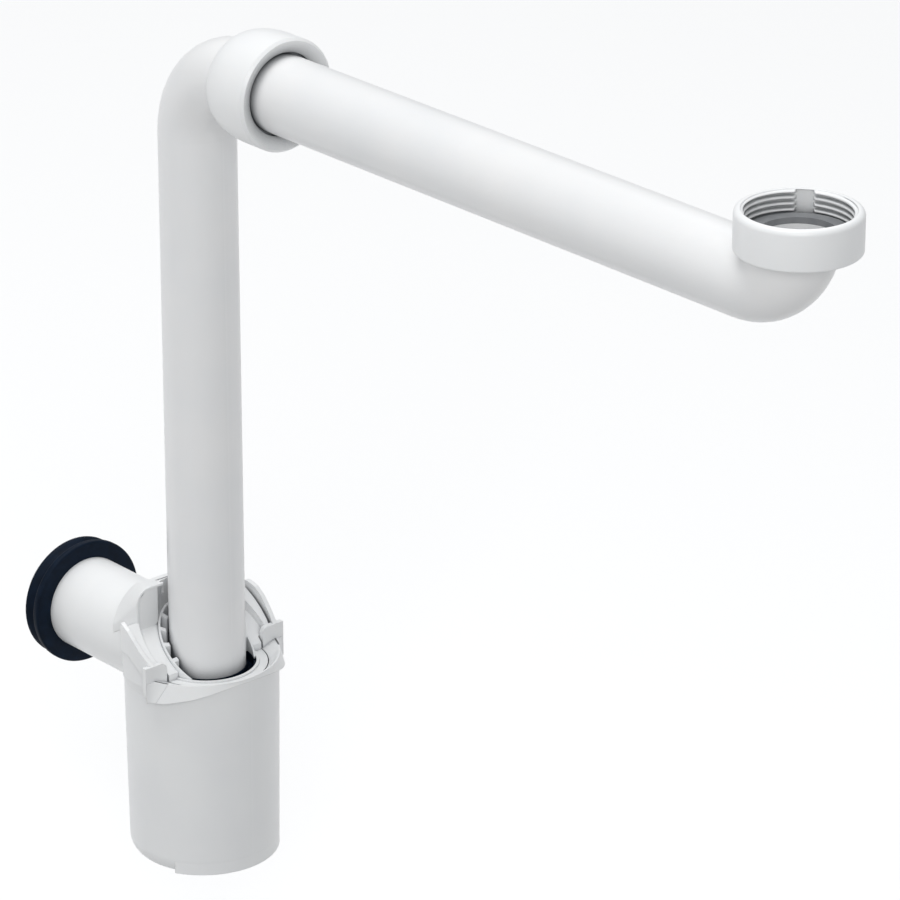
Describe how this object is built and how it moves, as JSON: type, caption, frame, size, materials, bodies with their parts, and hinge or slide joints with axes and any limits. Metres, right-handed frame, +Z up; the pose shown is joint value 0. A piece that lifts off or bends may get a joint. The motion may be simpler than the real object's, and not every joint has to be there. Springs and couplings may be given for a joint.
{
  "type": "sink trap",
  "caption": "Space saving washbasin bottle trap: horizontal inlet arm with a union nut, elbowed dip tube, compact pull-down cup and a wall outlet with a rubber collar.",
  "frame": {"origin": "centre of the rubber collar's room side flange face, on the axis of the wall outlet", "axes": "+X from the wall into the room along the inlet arm, +Z up, so the outlet leaves along -X"},
  "size_m": [0.4639, 0.0732, 0.3845],
  "materials": {
    "white_plastic": "satin moulded polypropylene",
    "black_rubber": "satin black rubber",
    "washer": "pale grey elastomer"
  },
  "bodies": {
    "head": {"trap_head": "white_plastic", "rubber_collar": "black_rubber", "guide_ring": "white_plastic", "cup_seal": "black_rubber"},
    "cup": {"cup": "white_plastic"},
    "tube_seal": {"dip_tube_seal": "black_rubber"},
    "riser": {"dip_tube": "white_plastic"},
    "elbow_nut": {"elbow_nut": "white_plastic"},
    "arm_seal": {"elbow_seal": "black_rubber", "elbow_slip_ring": "white_plastic"},
    "arm": {"inlet_arm": "white_plastic", "basin_washer": "washer"},
    "basin_nut": {"basin_union_nut": "white_plastic"}
  },
  "joints": [
    {"name": "cup_drop", "type": "slide", "parent": "head", "child": "cup", "axis": [0, 0, -1], "range_m": [0, 0.1]},
    {"name": "riser_turn", "type": "hinge", "parent": "head", "child": "tube_seal", "pos_m": [0.0823, 0, 0], "axis": [0, 0, 1], "continuous": true},
    {"name": "riser_height", "type": "slide", "parent": "tube_seal", "child": "riser", "axis": [0, 0, 1], "range_m": [-0.008, 0.04]},
    {"name": "elbow_nut_turn", "type": "hinge", "parent": "riser", "child": "elbow_nut", "pos_m": [0.13, 0, 0.2656], "axis": [1, 0, 0], "continuous": true},
    {"name": "arm_roll", "type": "hinge", "parent": "riser", "child": "arm_seal", "pos_m": [0.13, 0, 0.2656], "axis": [1, 0, 0], "continuous": true},
    {"name": "arm_reach", "type": "slide", "parent": "arm_seal", "child": "arm", "axis": [1, 0, 0], "range_m": [0, 0.01]},
    {"name": "basin_nut_turn", "type": "hinge", "parent": "arm", "child": "basin_nut", "pos_m": [0.4238, 0, 0.29], "axis": [0, 0, 1], "continuous": true}
  ]
}
